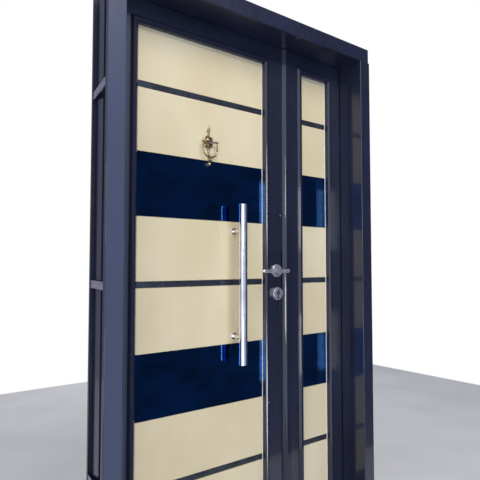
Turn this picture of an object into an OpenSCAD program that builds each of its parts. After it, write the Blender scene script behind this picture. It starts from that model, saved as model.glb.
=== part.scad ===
// A one-and-a-half entrance door: a wide leaf and a narrow leaf, both faced with coloured glass,
// hung in a pressed-steel frame. Both leaves open inwards, towards +Y. Millimetres.
// Origin: middle of the frame's base. +X right seen from outside, +Y into the building, +Z up.

/* [Frame] */
// Overall width of the frame
frame_w = 1200; // [960:10:1600]
// Overall height of the frame
frame_h = 2050; // [1700:10:2600]
// Depth of the frame from its front face to its back
frame_depth = 186; // [175:1:230]
// Width of the frame's front face
face_w = 60; // [48:1:90]
// Thickness of the frame's sheet steel
sheet_t = 2; // [1.5:0.1:3]
// Depth of the reveal in front of the leaves
reveal_depth = 117; // [90:1:125]
// How far the rebate steps back behind the reveal
rebate_step = 23; // [20:1:30]
// Width of the flange at the back of the frame
back_flange = 12; // [8:1:30]
// Return lip behind the outer edge of the front face
front_lip = 14; // [6:1:25]
// Return lip on the back flange
rear_lip = 10; // [4:1:20]
// Outside radius of the folds at the frame's front
fold_r = 3; // [2:0.5:4]
// How far the head stops short of the jambs' outer edges
head_inset = 9; // [0:1:12]
// Height of the sill
sill_h = 20; // [15:1:40]
// Height of the stop on the sill
sill_stop_h = 14; // [8:1:25]
// Radius of the holes for the wall fixings
fixing_r = 5.5; // [3:0.5:8]
// Height of the lowest wall fixing
fixing_z = 300; // [150:10:500]
// Highest wall fixing below the top of the frame
fixing_top_drop = 350; // [150:10:500]

/* [Anchor straps] */
// Height of a strap
strap_h = 24; // [15:1:40]
// Thickness of a strap
strap_t = 3; // [2:0.5:6]
// Height of the lowest strap
strap_z = 450; // [200:10:600]
// Highest strap below the underside of the head
strap_top_drop = 340; // [100:10:600]
// Number of straps on each jamb
strap_count = 3; // [2:1:3]

/* [Leaves] */
// Width of the narrow side leaf
side_leaf_w = 367; // [300:1:460]
// Thickness of both leaves
leaf_t = 62; // [54:1:64]
// Gap between a leaf and the rebate
edge_gap = 5; // [4:0.5:8]
// Gap between the two leaves where they meet
meeting_gap = 8; // [8:0.5:12]
// Gap under the leaves
bottom_gap = 6; // [3:0.5:12]
// Thickness of the rubber seal between a leaf and the stop
seal_t = 4; // [3:0.5:8]
// Thickness of the leaf skins
skin_t = 1.5; // [1:0.1:2.5]
// Wall thickness of the tubes inside a leaf
tube_t = 2; // [1.5:0.1:3]

/* [Rails and stiles] */
// Main leaf, hinge side: leaf edge to glass
main_hinge_stile = 110; // [80:1:150]
// Main leaf, lock side: leaf edge to glass
main_lock_stile = 86; // [84:1:130]
// Side leaf, meeting side: leaf edge to glass
side_meeting_stile = 109; // [90:1:130]
// Side leaf, hinge side: leaf edge to glass
side_hinge_stile = 101; // [75:1:130]
// Top of a leaf to glass
top_rail = 101; // [80:1:200]
// Bottom of a leaf to glass
bottom_rail = 156; // [90:1:300]

/* [Glazing] */
// Width of the outside bead moulding
bead_w = 24; // [18:1:40]
// How far the outside bead stands proud of the leaf
bead_h = 10; // [8:0.5:16]
// Depth of the glass behind the leaf's face
pane_recess = 14; // [10:0.5:20]
// Thickness of a glass panel
panel_t = 6; // [4:0.5:8]
// Thickness of the board behind the glass
backing_t = 8; // [4:0.5:10]
// Height of a dark divider strip
strip_h = 21; // [10:1:40]
// Height of an end field as a part of a full one
end_field = 0.857; // [0.5:0.001:1]
// Open joint between one panel and the next
joint_gap = 1.5; // [0.5:0.1:3]
// How far the glass reaches behind the bead
bite = 9; // [6:0.5:9]

/* [Meeting strip] */
// Width of the raised strip on the side leaf's meeting edge
meeting_strip_w = 44; // [36:1:60]
// How far the strip stands proud of the leaf
meeting_strip_h = 12; // [6:0.5:12]

/* [Pull handle] */
// Length of the bar
pull_len = 585; // [400:5:900]
// Diameter of the bar
pull_d = 32; // [22:1:38]
// Middle of the bar in front of the glass
pull_reach = 56; // [45:1:75]
// Distance between its two standoffs
pull_spacing = 388; // [250:2:500]
// Height of the middle of the bar
pull_z = 1040; // [900:5:1200]
// Distance of the bar from the lock-side edge of the glass
pull_edge = 139; // [60:1:180]
// Diameter of a standoff
standoff_d = 16; // [12:1:22]

/* [Lever and lock] */
// Height of the lever
handle_z = 1086; // [950:1:1200]
// Lever axis to the leaf's edge
backset = 26; // [26:0.5:40]
// Length of the lever from its axis
lever_len = 118; // [90:1:140]
// How far the lever's other end stands past its axis
lever_tail = 17; // [10:1:20]
// Diameter of the lever
lever_d = 16; // [12:1:20]
// Middle of the lever in front of the leaf
lever_reach = 59; // [45:1:70]
// Diameter of a rose
rose_d = 50; // [44:1:52]
// Thickness of a rose
rose_t = 8; // [6:0.5:12]
// Diameter of an escutcheon
escutcheon_d = 50; // [44:1:52]
// Thickness of an escutcheon
escutcheon_t = 13; // [8:0.5:16]
// Distance from the lever down to the cylinder
cylinder_drop = 86; // [85:1:92]
// Diameter of a deadbolt
bolt_d = 12; // [10:1:14]
// Throw of the deadbolts
bolt_throw = 20; // [15:1:20]
// How far the latch stands out of the leaf's edge
latch_proud = 1.5; // [0.5:0.5:2]

/* [Knocker] */
// Middle of the knocker's plate below the top of the glass
knocker_drop = 354; // [300:1:420]
// Distance of the knocker from the lock-side edge of the glass
knocker_edge = 257; // [150:1:300]
// Radius of the knocker's plate
knocker_r = 23; // [20:0.5:28]
// Radius of the peephole's barrel
viewer_r = 7; // [6:0.5:9]

/* [Hinges] */
// Height of a hinge
hinge_h = 120; // [90:1:160]
// Diameter of a hinge knuckle
knuckle_d = 14; // [12:1:18]
// Diameter of a hinge pin
pin_d = 8; // [6:1:10]
// Height of the lowest hinge's middle
hinge_low_z = 250; // [180:5:400]
// Highest hinge's middle below the top of the frame
hinge_top_drop = 250; // [180:5:400]

/* [Flush bolts] */
// Diameter of a flush bolt's rod
flush_d = 10; // [8:1:12]
// Throw of a flush bolt
flush_throw = 18; // [12:1:20]

/* [Hidden] */
$fn = 48;

// The frame's main planes
half_w = frame_w / 2;
front_y = -frame_depth / 2;
back_y = frame_depth / 2;
reveal_x = half_w - face_w;
reveal_z = frame_h - face_w;
stop_y = front_y + reveal_depth;
rebate_x = reveal_x + rebate_step;
rebate_z = reveal_z + rebate_step;
head_x = half_w - head_inset;

// The leaves' edges and faces
leaf_y = stop_y + seal_t;
leaf_in = leaf_y + leaf_t;
leaf_mid = leaf_y + leaf_t / 2;
leaf_z0 = sill_h + bottom_gap;
leaf_z1 = rebate_z - edge_gap;
main_x0 = -rebate_x + edge_gap;
side_x1 = rebate_x - edge_gap;
side_x0 = side_x1 - side_leaf_w;
main_x1 = side_x0 - meeting_gap;

// The sight openings, inside the beads
main_s0 = main_x0 + main_hinge_stile;
main_s1 = main_x1 - main_lock_stile;
side_s0 = side_x0 + side_meeting_stile;
side_s1 = side_x1 - side_hinge_stile;
sight_z0 = leaf_z0 + bottom_rail;
sight_z1 = leaf_z1 - top_rail;

// Glazing depths and the skins' openings
pane_y = leaf_y + pane_recess;
backing_y = pane_y + panel_t;
backing_end = backing_y + backing_t;
bead_leg = 11.5;
cut_edge = 12;
tube_edge = 14;
seal_line = 2;
seal_gap = 1.5;
bead_out_chamfer = 8;
bead_in_chamfer = 6;
bead_back_h = 4;

// Pattern of the panels from bottom to top: c cream field, s divider strip, m mirror band
field_h = (sight_z1 - sight_z0 - 3 * strip_h) / (6 + 2 * end_field);
pattern = ["e", "s", "c", "m", "c", "s", "c", "m", "c", "s", "e"];
function part_h(kind) = kind == "s" ? strip_h : kind == "e" ? end_field * field_h : field_h;
function part_z(i) = i == 0 ? sight_z0 : part_z(i - 1) + part_h(pattern[i - 1]);

// Hardware places
pull_x = main_s1 - pull_edge;
pull_y = pane_y - pull_reach;
lock_x = main_x1 - backset;
cylinder_z = handle_z - cylinder_drop;
latch_z = handle_z + 26;
bolt_pitch = 18;
bolt_z = cylinder_z + 40;
lever_y = leaf_y - lever_reach;
lever_in_y = leaf_in + lever_reach;
neck_r = 8;
running = 0.05;
spindle_a = 8;
knocker_x = main_s1 - knocker_edge;
knocker_z = sight_z1 - knocker_drop;
knocker_y = pane_y - 12;

// Lock parts
case_t = 16;
case_x0 = lock_x - 26;
case_z0 = cylinder_z - 34;
case_z1 = latch_z + 40;
forend_t = 2;
forend_w = 22;
latch_w = 12;
latch_h = 16;
strike_z0 = cylinder_z - 6;
strike_z1 = latch_z + 30;
strike_depth = 18;
plug_r = 6.5;
profile_r = 8.5;
profile_drop = 19.5;
profile_tail_r = 5;

// Hinges
hinge_x = rebate_x - edge_gap / 2;
hinge_y = back_y + 1.5 + knuckle_d / 2;
hinge_zs = [hinge_low_z, (hinge_low_z + frame_h - hinge_top_drop) / 2, frame_h - hinge_top_drop];
plate_t = 1.8;
plate_y0 = back_y - 45;
knuckle_gap = 0.5;

// Flush bolts in the side leaf's meeting edge
flush_x = side_x0 + 14;
flush_len = 190;
flush_plate_h = 130;
flush_plate_w = 20;
flush_slot_h = 28;

// ---- shared shapes ----

// A box from its lowest to its highest corner
module block(low, high) {
    translate(low) cube(high - low);
}

// A round bar along Y
module rod_y(x, y0, y1, z, r) {
    translate([x, y0, z]) rotate([-90, 0, 0]) cylinder(h = y1 - y0, r = r);
}

// A round bar along X
module rod_x(x0, x1, y, z, r) {
    translate([x0, y, z]) rotate([0, 90, 0]) cylinder(h = x1 - x0, r = r);
}

// One mitred side of a mouldings ring: section points are [distance outwards, y]
module ring_side(length, width, section) {
    intersection() {
        translate([0, 0, -length / 2 - width])
            linear_extrude(height = length + 2 * width)
                polygon([for (p = section) [-p[0], p[1]]]);
        rotate([90, 0, 0]) translate([0, 0, -frame_depth * 2])
            linear_extrude(height = frame_depth * 4)
                polygon([[width, -length / 2 + width], [width, length / 2 - width],
                         [-width, length / 2 + width], [-width, -length / 2 - width]]);
    }
}

// Four mitred sides round a sight opening
module ring(x0, x1, z0, z1, width, section) {
    xm = (x0 + x1) / 2;
    zm = (z0 + z1) / 2;
    translate([x0, 0, zm]) ring_side(z1 - z0, width, section);
    translate([x1, 0, zm]) mirror([1, 0, 0]) ring_side(z1 - z0, width, section);
    translate([xm, 0, z1]) rotate([0, 90, 0]) ring_side(x1 - x0, width, section);
    translate([xm, 0, z0]) rotate([0, -90, 0]) ring_side(x1 - x0, width, section);
}

// ---- frame ----

// What a fold takes off the outer corner at the origin of a section that lies up and to the right
module fold_cut() {
    difference() {
        translate([-1, -1]) square(fold_r + 1);
        translate([fold_r, fold_r]) circle(r = fold_r);
    }
}

// Folded section of the left jamb, looking down
module jamb_front_section() {
    difference() {
        union() {
            translate([-half_w, front_y]) square([sheet_t, front_lip]);
            translate([-half_w, front_y]) square([face_w, sheet_t]);
            translate([-reveal_x - sheet_t, front_y]) square([sheet_t, reveal_depth]);
        }
        translate([-half_w, front_y]) fold_cut();
        translate([-reveal_x, front_y]) mirror([1, 0]) fold_cut();
    }
    translate([-rebate_x - sheet_t, stop_y - sheet_t]) square([rebate_step + sheet_t, sheet_t]);
}

module jamb_back_section() {
    translate([-rebate_x - sheet_t, stop_y - sheet_t]) square([sheet_t, back_y - stop_y + sheet_t]);
    translate([-rebate_x - back_flange, back_y - sheet_t]) square([back_flange, sheet_t]);
    translate([-rebate_x - back_flange, back_y - rear_lip]) square([sheet_t, rear_lip]);
}

module jamb() {
    difference() {
        union() {
            linear_extrude(height = reveal_z) jamb_front_section();
            linear_extrude(height = rebate_z) jamb_back_section();
        }
        for (z = [fixing_z, frame_h - fixing_top_drop])
            rod_x(-rebate_x - sheet_t - 1, -rebate_x + 1, leaf_mid, z, fixing_r);
    }
}

module jamb_left() {
    color("darkslateblue") jamb();
}

module jamb_right() {
    color("darkslateblue") mirror([1, 0, 0]) jamb();
}

// Rounds the head's lower or upper front fold; up is 1 for the lower one
module head_fold_cut(x, z, up) {
    z_in = z + up * fold_r;
    z_out = z - up;
    difference() {
        block([-x, front_y - 1, min(z_in, z_out)], [x, front_y + fold_r, max(z_in, z_out)]);
        rod_x(-x - 1, x + 1, front_y + fold_r, z_in, fold_r);
    }
}

module head() {
    color("midnightblue") difference() {
        union() {
            block([-head_x, front_y, reveal_z], [head_x, front_y + sheet_t, frame_h]);
            block([-head_x, front_y, frame_h - sheet_t], [head_x, front_y + front_lip, frame_h]);
            block([-head_x, front_y, reveal_z], [head_x, stop_y, reveal_z + sheet_t]);
            block([-rebate_x, stop_y - sheet_t, reveal_z], [rebate_x, stop_y, rebate_z + sheet_t]);
            block([-rebate_x - sheet_t, stop_y - sheet_t, rebate_z],
                  [rebate_x + sheet_t, back_y, rebate_z + sheet_t]);
            block([-rebate_x - sheet_t, back_y - sheet_t, rebate_z],
                  [rebate_x + sheet_t, back_y, rebate_z + back_flange]);
        }
        head_fold_cut(reveal_x, reveal_z, 1);
        head_fold_cut(head_x + 1, frame_h, -1);
        translate([flush_x, leaf_mid, rebate_z - 1]) cylinder(h = sheet_t + 2, r = flush_d / 2 + 1);
    }
}

module sill() {
    color("silver") difference() {
        union() {
            block([-reveal_x, front_y, 0], [reveal_x, stop_y, sill_h]);
            block([-rebate_x, stop_y, 0], [rebate_x, back_y, sill_h]);
            block([-reveal_x, stop_y - 2 * sheet_t, 0], [reveal_x, stop_y, sill_h + sill_stop_h]);
        }
        block([-rebate_x - 1, front_y + sheet_t, sheet_t],
              [rebate_x + 1, back_y - sheet_t, sill_h - sheet_t]);
        translate([flush_x, leaf_mid, sill_h / 2]) cylinder(h = sill_h, r = flush_d / 2 + 1);
    }
}

// Flat straps that tie each jamb's front lip to its back lip
module anchor_straps() {
    x0 = -half_w + sheet_t;
    x1 = -rebate_x - back_flange + sheet_t;
    pitch = (reveal_z - strap_top_drop - strap_z) / (strap_count - 1);
    color("lightsteelblue") for (side = [0, 1], i = [0 : strap_count - 1])
        mirror([side, 0, 0]) translate([0, 0, strap_z + i * pitch - strap_h / 2])
            linear_extrude(height = strap_h)
                polygon([[x0, front_y + sheet_t], [x0 + strap_t, front_y + sheet_t],
                         [x0 + strap_t, front_y + front_lip + 2],
                         [x1 + strap_t, back_y - rear_lip - 2], [x1 + strap_t, back_y - sheet_t],
                         [x1, back_y - sheet_t], [x1, back_y - rear_lip - 2],
                         [x0, front_y + front_lip + 2]]);
}

// Rubber seal on the stops, against the leaves' outside faces
module frame_seal() {
    w = 10;
    nip = 0.3;
    z_low = sill_h + 0.5;
    z_high = rebate_z - 8;
    color("black") {
        block([-reveal_x - w - 6, stop_y, z_low], [-reveal_x - 6, leaf_y - nip, z_high]);
        block([reveal_x + 6, stop_y, z_low], [reveal_x + w + 6, leaf_y - nip, z_high]);
        block([-reveal_x - 6, stop_y, z_high - w], [reveal_x + 6, leaf_y - nip, z_high]);
        block([-reveal_x - 6, stop_y, z_low], [reveal_x + 6, leaf_y - nip, sill_h + sill_stop_h - 1]);
    }
}

// ---- hinges: three butt hinges a leaf, pins just behind the frame ----

// Knuckle heights, bottom to top: frame, leaf, frame
module knuckle(z, part) {
    third = hinge_h / 3;
    z0 = z - hinge_h / 2 + part * third + (part == 0 ? 0 : knuckle_gap / 2);
    z1 = z - hinge_h / 2 + (part + 1) * third - (part == 2 ? 0 : knuckle_gap / 2);
    translate([0, 0, z0]) cylinder(h = z1 - z0, r = knuckle_d / 2);
}

module knuckle_bore(z) {
    translate([0, 0, z - hinge_h / 2 - 1]) cylinder(h = hinge_h + 2, r = pin_d / 2 + running);
}

// Left-hand frame plates; the plate lies on the rebate wall and rolls into two knuckles
module frame_plate(z) {
    third = hinge_h / 3;
    difference() {
        union() {
            for (part = [0, 2])
                translate([-hinge_x, hinge_y, 0]) knuckle(z, part);
            block([-rebate_x, plate_y0, z - hinge_h / 2],
                  [-rebate_x + plate_t, back_y, z + hinge_h / 2]);
            for (dz = [-hinge_h / 2, hinge_h / 2 - third + knuckle_gap / 2])
                block([-rebate_x, back_y - 1, z + dz],
                      [-rebate_x + plate_t, hinge_y, z + dz + third - knuckle_gap / 2]);
        }
        translate([-hinge_x, hinge_y, 0]) knuckle_bore(z);
    }
}

module leaf_plate(z) {
    third = hinge_h / 3;
    difference() {
        union() {
            translate([-hinge_x, hinge_y, 0]) knuckle(z, 1);
            block([main_x0 - plate_t, plate_y0, z - hinge_h / 2],
                  [main_x0, leaf_in, z + hinge_h / 2]);
            block([main_x0 - plate_t, leaf_in - 1, z - third / 2 + knuckle_gap / 2],
                  [main_x0, hinge_y, z + third / 2 - knuckle_gap / 2]);
        }
        translate([-hinge_x, hinge_y, 0]) knuckle_bore(z);
    }
}

module hinge_pin(z) {
    translate([-hinge_x, hinge_y, z - hinge_h / 2]) cylinder(h = hinge_h, r = pin_d / 2);
    for (dz = [-hinge_h / 2 - 4, hinge_h / 2])
        translate([-hinge_x, hinge_y, z + dz]) cylinder(h = 4, r = knuckle_d / 2 - 1);
}

module hinge_frame_plates() {
    color("dimgray") for (side = [0, 1], z = hinge_zs)
        mirror([side, 0, 0]) frame_plate(z);
}

module hinge_pins() {
    color("silver") for (side = [0, 1], z = hinge_zs)
        mirror([side, 0, 0]) hinge_pin(z);
}

module main_hinge_plates() {
    color("dimgray") for (z = hinge_zs) leaf_plate(z);
}

module side_hinge_plates() {
    color("dimgray") for (z = hinge_zs) mirror([1, 0, 0]) leaf_plate(z);
}

// ---- leaf shells, tubes and glazing, shared by both leaves ----

seam_y = leaf_mid;
seam = 0.4;

module outer_tray(x0, x1, s0, s1) {
    difference() {
        block([x0, leaf_y, leaf_z0], [x1, seam_y - seam / 2, leaf_z1]);
        block([x0 + skin_t, leaf_y + skin_t, leaf_z0 + skin_t],
              [x1 - skin_t, seam_y + 1, leaf_z1 - skin_t]);
        block([s0 - cut_edge, leaf_y - 1, sight_z0 - cut_edge],
              [s1 + cut_edge, seam_y, sight_z1 + cut_edge]);
    }
}

module inner_tray(x0, x1, s0, s1) {
    difference() {
        block([x0, seam_y + seam / 2, leaf_z0], [x1, leaf_in, leaf_z1]);
        block([x0 + skin_t, seam_y - 1, leaf_z0 + skin_t],
              [x1 - skin_t, leaf_in - skin_t, leaf_z1 - skin_t]);
        block([s0 - cut_edge, seam_y, sight_z0 - cut_edge],
              [s1 + cut_edge, leaf_in + 1, sight_z1 + cut_edge]);
    }
}

// A square tube between two corners, open along Z or X
module tube(low, high, along_z) {
    difference() {
        block(low, high);
        if (along_z)
            block(low + [tube_t, tube_t, -1], high + [-tube_t, -tube_t, 1]);
        else
            block(low + [-1, tube_t, tube_t], high + [1, -tube_t, -tube_t]);
    }
}

tube_gap = 0.5;

module core_tubes(x0, x1, s0, s1) {
    y0 = leaf_y + skin_t;
    y1 = leaf_in - skin_t;
    z0 = leaf_z0 + skin_t + tube_gap;
    z1 = leaf_z1 - skin_t - tube_gap;
    xa = x0 + skin_t + tube_gap;
    xb = x1 - skin_t - tube_gap;
    tube([xa, y0, z0], [s0 - tube_edge, y1, z1], true);
    tube([s1 + tube_edge, y0, z0], [xb, y1, z1], true);
    tube([s0 - tube_edge, y0, z0], [s1 + tube_edge, y1, sight_z0 - tube_edge], false);
    tube([s0 - tube_edge, y0, sight_z1 + tube_edge], [s1 + tube_edge, y1, z1], false);
}

// Outside bead: an angled moulding with a leg that holds the glass
module outer_bead(s0, s1) {
    crest = leaf_y - bead_h;
    foot = pane_y - seal_gap;
    ring(s0, s1, sight_z0, sight_z1, bead_w,
         [[0, foot], [0, crest + bead_in_chamfer], [bead_in_chamfer, crest],
          [bead_w - bead_out_chamfer, crest], [bead_w, crest + bead_out_chamfer],
          [bead_w, leaf_y], [bead_leg, leaf_y], [bead_leg, foot]]);
}

module inner_bead(s0, s1) {
    crest = leaf_in + bead_back_h;
    foot = backing_end + 0.3;
    ring(s0, s1, sight_z0, sight_z1, bead_w,
         [[0, foot], [0, crest - 2], [2, crest], [bead_w - 4, crest], [bead_w, leaf_in],
          [bead_leg, leaf_in], [bead_leg, foot]]);
}

// Pale sealant line between the bead and the glass
module glazing_seal(s0, s1) {
    ring(s0, s1, sight_z0, sight_z1, bite,
         [[-seal_line, pane_y], [-seal_line, pane_y - 0.5], [-0.5, pane_y - seal_gap],
          [bite - 1, pane_y - seal_gap], [bite - 1, pane_y]]);
}

// One panel of the pattern; end panels run on behind the bead
module panel(s0, s1, i, y0, y1) {
    last = len(pattern) - 1;
    z0 = i == 0 ? part_z(0) - bite : part_z(i) + joint_gap / 2;
    z1 = i == last ? sight_z1 + bite : part_z(i + 1) - joint_gap / 2;
    block([s0 - bite, y0, z0], [s1 + bite, y1, z1]);
}

module panels_of(s0, s1, kinds, y0) {
    for (i = [0 : len(pattern) - 1])
        if (len(search(pattern[i], kinds)) > 0)
            panel(s0, s1, i, y0, backing_y);
}

module backing(s0, s1) {
    block([s0 - bite, backing_y, sight_z0 - bite], [s1 + bite, backing_end, sight_z1 + bite]);
}

// ---- main leaf ----

bolt_hole_r = 4.5;
stud_r = 2;
knocker_stud_zs = [knocker_z + knocker_r + 16, knocker_z - 81];
standoff_zs = [pull_z - pull_spacing / 2, pull_z + pull_spacing / 2];

// Everything that passes through the main leaf's glass and its board
module pane_holes() {
    for (z = standoff_zs) rod_y(pull_x, pane_y - 5, backing_end + 5, z, bolt_hole_r);
    for (z = knocker_stud_zs) rod_y(knocker_x, pane_y - 5, backing_end + 5, z, stud_r + 0.3);
    rod_y(knocker_x, pane_y - 5, backing_end + 5, knocker_z, viewer_r + 0.2);
}

// Cylinder profile outline, grown by g
module cylinder_profile(g) {
    circle(r = profile_r + g);
    translate([-profile_tail_r - g, -profile_drop]) square([2 * (profile_tail_r + g), profile_drop]);
    translate([0, -profile_drop]) circle(r = profile_tail_r + g);
}

module cylinder_bar(y0, y1, g) {
    translate([lock_x, y1, cylinder_z]) rotate([90, 0, 0])
        linear_extrude(height = y1 - y0) cylinder_profile(g);
}

forend_screw_zs = [case_z0 - 5, case_z1 + 5];
forend_z0 = case_z0 - 10;
forend_z1 = case_z1 + 10;

// Through holes for the lever's neck and the cylinder
module lock_holes() {
    rod_y(lock_x, leaf_y - 5, leaf_in + 5, handle_z, neck_r + 3);
    cylinder_bar(leaf_y - 5, leaf_in + 5, 1);
}

// A slot in a leaf's edge at x, as wide as w
module edge_slot(x, z0, z1, w) {
    block([x - 6, leaf_mid - w / 2, z0], [x + 6, leaf_mid + w / 2, z1]);
}

module forend_screw_holes() {
    for (z = forend_screw_zs) rod_x(main_x1 - 10, main_x1 + 1, leaf_mid, z, 2.5);
}

module main_outer_skin() {
    color("darkslateblue") difference() {
        outer_tray(main_x0, main_x1, main_s0, main_s1);
        lock_holes();
        edge_slot(main_x1, forend_z0, forend_z1, forend_w);
    }
}

module main_inner_skin() {
    color("darkslateblue") difference() {
        inner_tray(main_x0, main_x1, main_s0, main_s1);
        lock_holes();
        edge_slot(main_x1, forend_z0, forend_z1, forend_w);
    }
}

module main_core() {
    color("slategray") difference() {
        core_tubes(main_x0, main_x1, main_s0, main_s1);
        lock_holes();
        edge_slot(main_x1, case_z0 - 0.5, case_z1 + 0.5, case_t + 1);
        forend_screw_holes();
    }
}

module main_outer_bead() {
    color("midnightblue") outer_bead(main_s0, main_s1);
}

module main_inner_bead() {
    color("midnightblue") inner_bead(main_s0, main_s1);
}

module main_glazing_seal() {
    color("lightgray") glazing_seal(main_s0, main_s1);
}

module main_backing() {
    color("beige") difference() {
        backing(main_s0, main_s1);
        pane_holes();
    }
}

module main_cream_panels() {
    color("cornsilk") difference() {
        panels_of(main_s0, main_s1, "ce", pane_y);
        pane_holes();
    }
}

module main_mirror_bands() {
    color("navy") difference() {
        panels_of(main_s0, main_s1, "m", pane_y);
        pane_holes();
    }
}

module main_divider_strips() {
    color("darkslategray") panels_of(main_s0, main_s1, "s", pane_y);
}

// ---- pull handle ----

module pull_bar() {
    bevel = 1.5;
    color("silver") difference() {
        translate([pull_x, pull_y, pull_z - pull_len / 2]) rotate_extrude($fn = 64)
            polygon([[0, 0], [pull_d / 2 - bevel, 0], [pull_d / 2, bevel],
                     [pull_d / 2, pull_len - bevel], [pull_d / 2 - bevel, pull_len], [0, pull_len]]);
        for (z = standoff_zs) rod_y(pull_x, pull_y, pull_y + pull_d, z, standoff_d / 2);
    }
}

module pull_standoffs() {
    color("silver") for (z = standoff_zs) difference() {
        union() {
            rod_y(pull_x, pull_y, pane_y, z, standoff_d / 2);
            rod_y(pull_x, pane_y - 3, pane_y, z, standoff_d / 2 + 4);
        }
        rod_y(pull_x, pane_y - 22, pane_y + 1, z, 4);
    }
}

// Through bolts with a cap on the inside
module pull_bolts() {
    color("silver") for (z = standoff_zs) {
        rod_y(pull_x, pane_y - 20, backing_end, z, 4);
        rod_y(pull_x, backing_end, backing_end + 4, z, 11);
        rod_y(pull_x, backing_end + 4, backing_end + 7, z, 8);
    }
}

// ---- lock, levers and cylinder ----

module lock_case() {
    y0 = leaf_mid - case_t / 2;
    y1 = leaf_mid + case_t / 2;
    x1 = main_x1 - forend_t;
    color("gray") difference() {
        block([case_x0, y0, case_z0], [x1, y1, case_z1]);
        block([case_x0 + 1.5, y0 + 1.5, case_z0 + 1.5], [x1 + 1, y1 - 1.5, case_z1 - 1.5]);
        rod_y(lock_x, y0 - 1, y1 + 1, handle_z, 12 + running);
        cylinder_bar(y0 - 1, y1 + 1, 0.3);
    }
}

module lock_forend() {
    color("silver") difference() {
        block([main_x1 - forend_t, leaf_mid - forend_w / 2 + 0.3, forend_z0 + 0.3],
              [main_x1, leaf_mid + forend_w / 2 - 0.3, forend_z1 - 0.3]);
        block([main_x1 - 5, leaf_mid - latch_w / 2 - 0.2, latch_z - latch_h / 2 - 0.2],
              [main_x1 + 1, leaf_mid + latch_w / 2 + 0.2, latch_z + latch_h / 2 + 0.2]);
        for (i = [-1 : 1])
            rod_x(main_x1 - 5, main_x1 + 1, leaf_mid, bolt_z + i * bolt_pitch, bolt_d / 2 + running);
        forend_screw_holes();
    }
}

module forend_screws() {
    color("silver") for (z = forend_screw_zs) {
        rod_x(main_x1 - 14, main_x1, leaf_mid, z, 2.45);
        rod_x(main_x1, main_x1 + 0.8, leaf_mid, z, 4);
    }
}

// Bevelled latch, drawn back clear of the side leaf's edge
module latch_bolt() {
    x1 = main_x1 + latch_proud;
    color("silver") translate([0, 0, latch_z - latch_h / 2]) linear_extrude(height = latch_h)
        polygon([[x1 - 40, leaf_mid - latch_w / 2], [x1 - 5, leaf_mid - latch_w / 2],
                 [x1, leaf_mid - latch_w / 2 + 5], [x1, leaf_mid + latch_w / 2 - 1],
                 [x1 - 1, leaf_mid + latch_w / 2], [x1 - 40, leaf_mid + latch_w / 2]]);
}

module deadbolts() {
    x0 = main_x1 - 48;
    color("silver") {
        for (i = [-1 : 1])
            rod_x(x0 + 4, main_x1 - 0.5, leaf_mid, bolt_z + i * bolt_pitch, bolt_d / 2);
        block([x0, leaf_mid - 5, bolt_z - bolt_pitch - 6], [x0 + 5, leaf_mid + 5, bolt_z + bolt_pitch + 6]);
    }
}

module follower() {
    color("gray") difference() {
        rod_y(lock_x, leaf_mid - case_t / 2, leaf_mid + case_t / 2, handle_z, 12);
        block([lock_x - spindle_a / 2 - running, leaf_mid - 20, handle_z - spindle_a / 2 - running],
              [lock_x + spindle_a / 2 + running, leaf_mid + 20, handle_z + spindle_a / 2 + running]);
    }
}

module spindle() {
    color("gray") block([lock_x - spindle_a / 2, leaf_y - 12, handle_z - spindle_a / 2],
                        [lock_x + spindle_a / 2, leaf_in + 12, handle_z + spindle_a / 2]);
}

// A round grip across the end of a round neck; grip_y is the grip's middle, base_y the leaf's face
module lever(base_y, grip_y) {
    lo = min(base_y, grip_y);
    hi = max(base_y, grip_y);
    side = grip_y < base_y ? -1 : 1;
    r = lever_d / 2;
    difference() {
        union() {
            rod_y(lock_x, lo, hi, handle_z, neck_r);
            rod_x(lock_x - lever_len + r, lock_x + lever_tail - r, grip_y, handle_z, r);
            for (x = [lock_x - lever_len + r, lock_x + lever_tail - r])
                translate([x, grip_y, handle_z]) sphere(r = r);
        }
        translate([lock_x, base_y + side * 5, handle_z])
            cube([spindle_a + 2 * running, 20, spindle_a + 2 * running], center = true);
    }
}

module lever_outside() {
    color("silver") lever(leaf_y - 1, lever_y);
}

module lever_inside() {
    color("silver") lever(leaf_in + 1, lever_in_y);
}

// A turned disc with a rounded rim; t is its thickness, outwards along -Y from y
module disc(x, y, z, d, t, outwards) {
    r = d / 2;
    soft = 2.5;
    translate([x, y, z]) rotate([outwards ? 90 : -90, 0, 0]) rotate_extrude($fn = 64) union() {
        square([r, t - soft]);
        square([r - soft, t]);
        translate([r - soft, t - soft]) circle(r = soft, $fn = 32);
    }
}

module rose_outside() {
    color("silver") difference() {
        disc(lock_x, leaf_y, handle_z, rose_d, rose_t, true);
        rod_y(lock_x, leaf_y - 20, leaf_y + 1, handle_z, neck_r + running);
    }
}

module rose_inside() {
    color("silver") difference() {
        disc(lock_x, leaf_in, handle_z, rose_d, rose_t, false);
        rod_y(lock_x, leaf_in - 1, leaf_in + 20, handle_z, neck_r + running);
    }
}

escutcheon_z = cylinder_z - 4;

module escutcheon_outside() {
    color("silver") difference() {
        disc(lock_x, leaf_y, escutcheon_z, escutcheon_d, escutcheon_t, true);
        cylinder_bar(leaf_y - 20, leaf_y + 1, 0.3);
    }
}

module escutcheon_inside() {
    color("silver") difference() {
        disc(lock_x, leaf_in, escutcheon_z, escutcheon_d, escutcheon_t, false);
        cylinder_bar(leaf_in - 1, leaf_in + 20, 0.3);
    }
}

cyl_y0 = leaf_y - escutcheon_t + 0.5;
cyl_y1 = leaf_in + escutcheon_t - 0.5;
cam_t = 9;

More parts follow.
